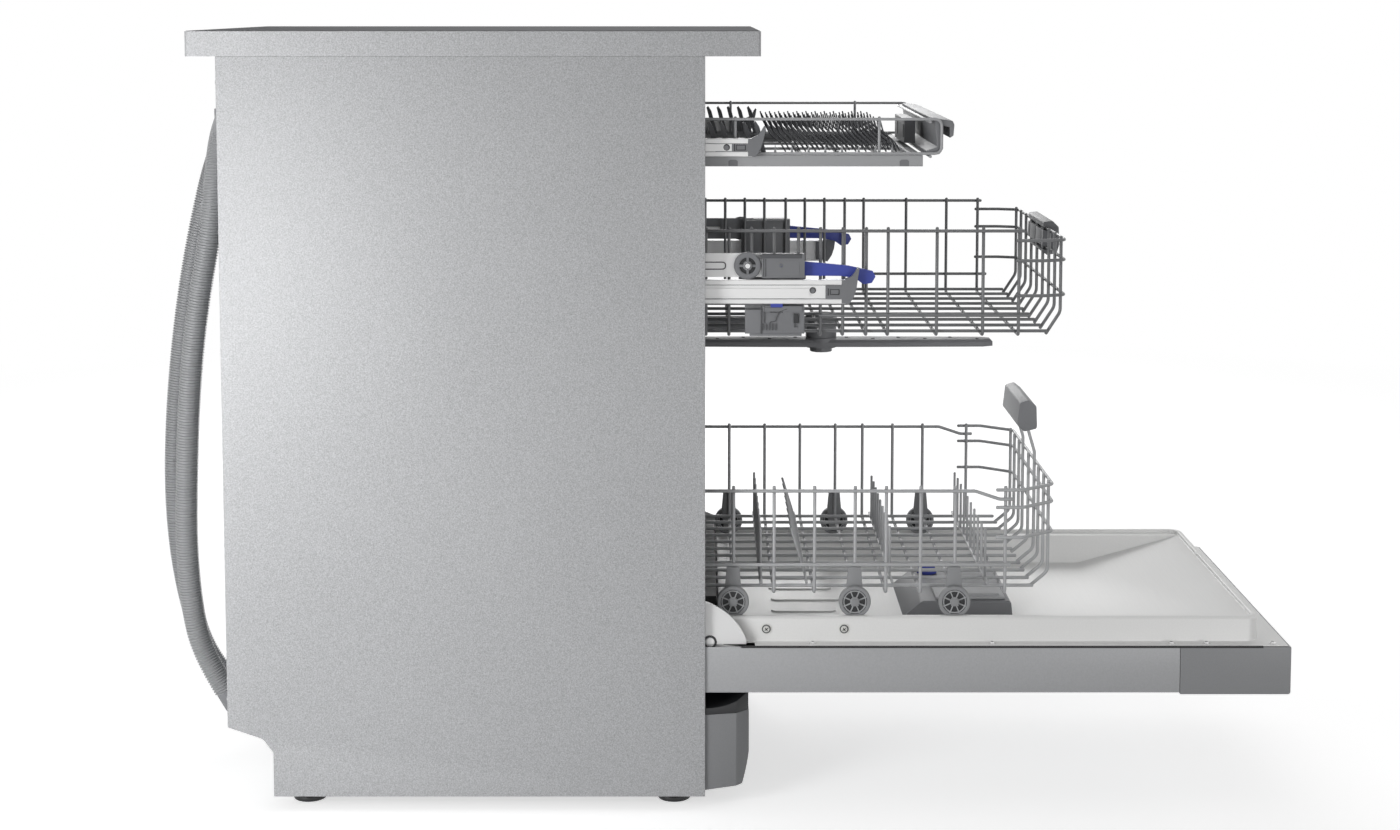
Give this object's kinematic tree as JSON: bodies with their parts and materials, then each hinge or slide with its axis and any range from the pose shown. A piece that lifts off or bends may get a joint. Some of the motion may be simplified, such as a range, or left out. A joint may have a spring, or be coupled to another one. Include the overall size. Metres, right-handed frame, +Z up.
{
  "type": "freestanding dishwasher",
  "caption": "Narrow freestanding dishwasher, door open flat, with lower and upper wire baskets and a cutlery tray drawn out on rails, spray arms, filter and drain hose.",
  "frame": {"origin": "on the floor, under the middle of the box that the machine fills without its hose", "axes": "+Z up, -Y towards the front that the door opens to, +X to the right seen from the front, with X = 0 on the machine's middle plane"},
  "size_m": [0.448, 1.2763, 0.845],
  "materials": {
    "cabinet_sheet": "satin silver coated sheet",
    "worktop_laminate": "silver laminate on board, satin",
    "galvanised": "plain zinc coated sheet",
    "door_sheet": "satin silver coated sheet",
    "fascia_plastic": "silver grey moulding, satin",
    "plinth_plastic": "grey moulding, satin",
    "dark_plastic": "near black, matt",
    "stainless": "bright stainless sheet, lightly brushed",
    "bright_zinc": "bright zinc plated sheet",
    "gasket_rubber": "black, matt",
    "base_plastic": "dark grey moulding",
    "sump_plastic": "grey moulding",
    "pump_metal": "pump housings, satin",
    "softener_plastic": "off white moulding",
    "cap_plastic": "light grey moulding",
    "grey_plastic": "mid grey moulding",
    "ballast_concrete": "cast block, matt",
    "spring_steel": "oiled spring steel",
    "hose_plastic": "light grey ribbed hose",
    "hose_cuff": "dark grey rubber sleeve",
    "coated_wire_lower": "grey coated basket wire",
    "coated_wire_upper": "grey coated basket wire",
    "wheel_plastic": "grey moulding, satin",
    "blue_plastic": "blue moulding, satin",
    "light_plastic": "light grey moulding, satin",
    "button_plastic": "silver button, satin",
    "rail_steel": "bright folded steel rail"
  },
  "bodies": {
    "cabinet": {"worktop": "worktop_laminate", "side_panels": "cabinet_sheet", "back_panel": "galvanised", "base_tray": "base_plastic", "plinth": "plinth_plastic", "plinth_trough": "dark_plastic", "levelling_feet": "dark_plastic", "tub_walls": "stainless", "tub_floor": "stainless", "tub_gasket": "gasket_rubber", "sump": "sump_plastic", "circulation_pump": "pump_metal", "drain_pump": "pump_metal", "inlet_valve": "softener_plastic", "softener_tank": "softener_plastic", "salt_cap": "cap_plastic", "spray_feed_duct": "grey_plastic", "ballast_block": "ballast_concrete", "hinge_brackets": "bright_zinc", "door_springs": "spring_steel", "rail_supports": "light_plastic", "mains_gland": "dark_plastic", "hose_fittings": "grey_plastic", "drain_hose": "hose_plastic", "hose_end_cuff": "hose_cuff"},
    "coarse_filter": {"coarse_filter": "grey_plastic"},
    "lower_spray_arm": {"lower_spray_arm": "grey_plastic"},
    "ceiling_spray_arm": {"ceiling_spray_arm": "grey_plastic"},
    "door": {"door_outer_panel": "door_sheet", "control_fascia": "fascia_plastic", "door_inner_liner": "stainless", "hinge_arms": "bright_zinc", "detergent_dispenser": "grey_plastic"},
    "dispenser_lid": {"dispenser_lid": "light_plastic"},
    "rinse_aid_cap": {"rinse_aid_cap": "blue_plastic"},
    "power_button": {"power_button": "button_plastic"},
    "program_button": {"program_button": "button_plastic"},
    "start_button": {"start_button": "button_plastic"},
    "lower_rack": {"lower_rack_wires": "coated_wire_lower", "lower_rack_grip": "light_plastic", "wheel_carriers": "wheel_plastic"},
    "front_wheels": {"front_wheels": "wheel_plastic"},
    "middle_wheels": {"middle_wheels": "wheel_plastic"},
    "rear_wheels": {"rear_wheels": "wheel_plastic"},
    "rear_tines": {"rear_tines": "coated_wire_lower"},
    "front_tines": {"front_tines": "coated_wire_lower"},
    "lift_carriages": {"lift_carriages": "light_plastic"},
    "upper_rack": {"upper_rack_wires": "coated_wire_upper", "upper_rack_grip": "light_plastic", "upper_feed_pipe": "grey_plastic", "rack_hangers": "grey_plastic"},
    "upper_spray_arm": {"upper_spray_arm": "grey_plastic"},
    "lift_lever_left": {"lift_lever_left": "blue_plastic"},
    "lift_lever_right": {"lift_lever_right": "blue_plastic"},
    "carriage_rollers": {"carriage_rollers": "wheel_plastic"},
    "upper_rails": {"upper_rails": "rail_steel"},
    "tray": {"cutlery_tray": "light_plastic", "tray_wires": "coated_wire_upper", "tray_grip": "light_plastic"},
    "tray_rails": {"tray_rails": "rail_steel"}
  },
  "joints": [
    {"name": "door_hinge", "type": "hinge", "parent": "cabinet", "child": "door", "pos_m": [0, 0.03715, 0.1832], "axis": [1, 0, 0], "range_deg": [-0.05, 0]},
    {"name": "lower_rack_slide", "type": "slide", "parent": "cabinet", "child": "lower_rack", "axis": [0, -1, 0], "range_m": [-0.367, 0.11]},
    {"name": "upper_rack_slide", "type": "slide", "parent": "cabinet", "child": "lift_carriages", "axis": [0, -1, 0], "range_m": [-0.384, 0]},
    {"name": "upper_rack_lift", "type": "slide", "parent": "lift_carriages", "child": "upper_rack", "axis": [0, 0, 1], "range_m": [0, 0.05]},
    {"name": "upper_rail_slide", "type": "slide", "parent": "cabinet", "child": "upper_rails", "axis": [0, -1, 0], "range_m": [-0.192, 0]},
    {"name": "tray_slide", "type": "slide", "parent": "cabinet", "child": "tray", "axis": [0, -1, 0], "range_m": [-0.27, 0.1]},
    {"name": "tray_rail_slide", "type": "slide", "parent": "cabinet", "child": "tray_rails", "axis": [0, -1, 0], "range_m": [-0.135, 0.05]},
    {"name": "left_lift_lever", "type": "hinge", "parent": "lift_carriages", "child": "lift_lever_left", "pos_m": [-0.191, -0.06065, 0.589], "axis": [1, 0, 0], "range_deg": [-10, 0]},
    {"name": "right_lift_lever", "type": "hinge", "parent": "lift_carriages", "child": "lift_lever_right", "pos_m": [0.191, -0.06065, 0.589], "axis": [1, 0, 0], "range_deg": [-10, 0]},
    {"name": "lower_arm_spin", "type": "hinge", "parent": "cabinet", "child": "lower_spray_arm", "pos_m": [0, 0.29735, 0.214], "axis": [0, 0, 1], "continuous": true},
    {"name": "ceiling_arm_spin", "type": "hinge", "parent": "cabinet", "child": "ceiling_spray_arm", "pos_m": [0, 0.29735, 0.776], "axis": [0, 0, 1], "continuous": true},
    {"name": "upper_arm_spin", "type": "hinge", "parent": "upper_rack", "child": "upper_spray_arm", "pos_m": [0, -0.09365, 0.4795], "axis": [0, 0, 1], "continuous": true},
    {"name": "filter_turn", "type": "hinge", "parent": "cabinet", "child": "coarse_filter", "pos_m": [0.088, 0.37735, 0.13], "axis": [0, 0, 1], "range_deg": [-60, 0]},
    {"name": "rear_tine_fold", "type": "hinge", "parent": "lower_rack", "child": "rear_tines", "pos_m": [0, -0.06965, 0.2367], "axis": [1, 0, 0], "range_deg": [-66, 0]},
    {"name": "front_tine_fold", "type": "hinge", "parent": "lower_rack", "child": "front_tines", "pos_m": [0, -0.16445, 0.2367], "axis": [1, 0, 0], "range_deg": [-83, 0]},
    {"name": "dispenser_lid_slide", "type": "slide", "parent": "door", "child": "dispenser_lid", "axis": [1, 0, 0], "range_m": [0, 0.046]},
    {"name": "rinse_cap_turn", "type": "hinge", "parent": "door", "child": "rinse_aid_cap", "pos_m": [0.056, -0.22565, 0.191], "axis": [0, 0, 1], "range_deg": [0, 90]},
    {"name": "power_button_press", "type": "slide", "parent": "door", "child": "power_button", "axis": [0, 0, 1], "range_m": [0, 0.0015], "stiffness_N_per_m": 300, "springref_m": -0.002},
    {"name": "program_button_press", "type": "slide", "parent": "door", "child": "program_button", "axis": [0, 0, 1], "range_m": [0, 0.0015], "stiffness_N_per_m": 300, "springref_m": -0.002},
    {"name": "start_button_press", "type": "slide", "parent": "door", "child": "start_button", "axis": [0, 0, 1], "range_m": [0, 0.0015], "stiffness_N_per_m": 300, "springref_m": -0.002},
    {"name": "rear_wheels_turn", "type": "hinge", "parent": "lower_rack", "child": "rear_wheels", "pos_m": [0, 0.01175, 0.2218], "axis": [1, 0, 0], "range_deg": [-1202.6, 361.1]},
    {"name": "middle_wheels_turn", "type": "hinge", "parent": "lower_rack", "child": "middle_wheels", "pos_m": [0, -0.12145, 0.2218], "axis": [1, 0, 0], "range_deg": [-1202.6, 361.1]},
    {"name": "front_wheels_turn", "type": "hinge", "parent": "lower_rack", "child": "front_wheels", "pos_m": [0, -0.23055, 0.2218], "axis": [1, 0, 0], "range_deg": [-1202.6, 361.1]},
    {"name": "carriage_roller_turn", "type": "hinge", "parent": "lift_carriages", "child": "carriage_rollers", "pos_m": [0, -0.00335, 0.5925], "axis": [1, 0, 0], "range_deg": [-749.4, 0]}
  ],
  "couplings": [
    {"joint": "upper_rail_slide", "follows": "upper_rack_slide", "ratio": 0.5},
    {"joint": "tray_rail_slide", "follows": "tray_slide", "ratio": 0.5},
    {"joint": "rear_wheels_turn", "follows": "lower_rack_slide", "rad_per_m": 57.143},
    {"joint": "middle_wheels_turn", "follows": "lower_rack_slide", "rad_per_m": 57.143},
    {"joint": "front_wheels_turn", "follows": "lower_rack_slide", "rad_per_m": 57.143},
    {"joint": "carriage_roller_turn", "follows": "upper_rack_slide", "rad_per_m": 34.014}
  ]
}
